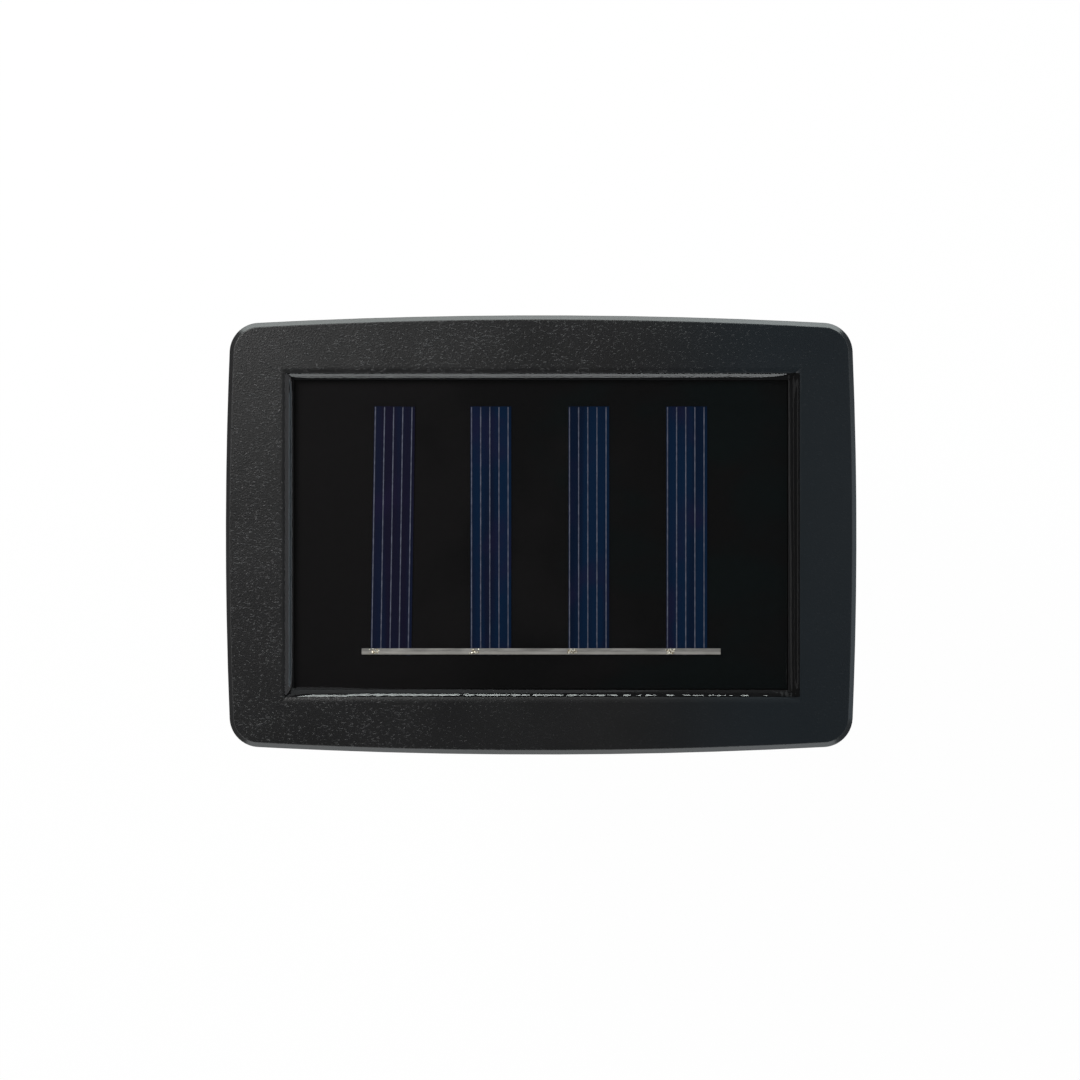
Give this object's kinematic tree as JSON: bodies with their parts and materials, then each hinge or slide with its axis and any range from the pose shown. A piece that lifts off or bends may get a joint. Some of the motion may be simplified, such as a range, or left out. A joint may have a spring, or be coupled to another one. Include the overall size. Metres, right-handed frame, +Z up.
{
  "type": "solar fence light",
  "caption": "Wall-hung solar fence light with a bowed panel frame on top, a tapered housing, a sloping frosted front lens and a slide-on wall bracket.",
  "frame": {"origin": "centre of the wall bracket's back face, on the fence's face", "axes": "+Z up, +Y towards the fence, +X along the lamp's long side"},
  "size_m": [0.11, 0.0772, 0.046],
  "materials": {
    "cover_plastic": "spark-textured black ABS, satin",
    "housing_plastic": "fine-grained black ABS, satin",
    "bracket_plastic": "fine-grained black ABS, satin",
    "knob_plastic": "smooth black nylon",
    "panel_black": "black solder resist on glass-fibre board",
    "solar_cell": "dark blue coated silicon",
    "silver_print": "fine printed silver lines",
    "tinned_copper": "dull tinned ribbon",
    "solder": "lumpy solder with flux tint",
    "clear_resin": "clear glossy potting resin",
    "frosted_lens": "frosted white polycarbonate",
    "seal_rubber": "soft black silicone",
    "white_plastic": "white reflector plastic, satin",
    "board_green": "green solder resist",
    "board_white": "white solder resist",
    "led_clear": "clear epoxy with a pale yellow phosphor",
    "component_black": "moulded black epoxy",
    "coil_copper": "enamelled copper winding on ferrite",
    "capacitor_sleeve": "dark shrink sleeve",
    "battery_sleeve": "green shrink sleeve over a steel can",
    "plated_steel": "bright nickel plate",
    "screw_zinc": "zinc-plated steel",
    "wire_red": "red PVC insulation",
    "wire_black": "black PVC insulation"
  },
  "bodies": {
    "bracket": {"wall_bracket": "bracket_plastic"},
    "lamp": {"top_cover": "cover_plastic", "cover_seal": "seal_rubber", "panel_board": "panel_black", "solar_cell_1": "solar_cell", "solar_cell_2": "solar_cell", "solar_cell_3": "solar_cell", "solar_cell_4": "solar_cell", "cell_fingers": "silver_print", "busbar_ribbon": "tinned_copper", "solder_joints": "solder", "potting_resin": "clear_resin", "housing": "housing_plastic", "lens": "frosted_lens", "lens_seal": "seal_rubber", "reflector": "white_plastic", "led_board": "board_white", "leds": "led_clear", "led_board_screws": "screw_zinc", "control_board": "board_green", "control_board_screws": "screw_zinc", "driver_chip": "component_black", "inductor": "coil_copper", "capacitor": "capacitor_sleeve", "switch_body": "component_black", "battery": "battery_sleeve", "battery_cap": "plated_steel", "battery_contacts": "plated_steel", "battery_spring": "plated_steel", "case_screws": "screw_zinc", "wires_red": "wire_red", "wires_black": "wire_black"},
    "switch": {"switch_knob": "knob_plastic"},
    "door": {"battery_door": "housing_plastic", "door_seal": "seal_rubber", "door_screw": "screw_zinc"}
  },
  "joints": [
    {"name": "lift_off", "type": "slide", "parent": "bracket", "child": "lamp", "axis": [0, 0, 1], "range_m": [0, 0.04]},
    {"name": "switch_slide", "type": "slide", "parent": "lamp", "child": "switch", "axis": [1, 0, 0], "range_m": [0, 0.0025]},
    {"name": "battery_door_off", "type": "slide", "parent": "lamp", "child": "door", "axis": [0, 0, -1], "range_m": [0, 0.02]}
  ]
}
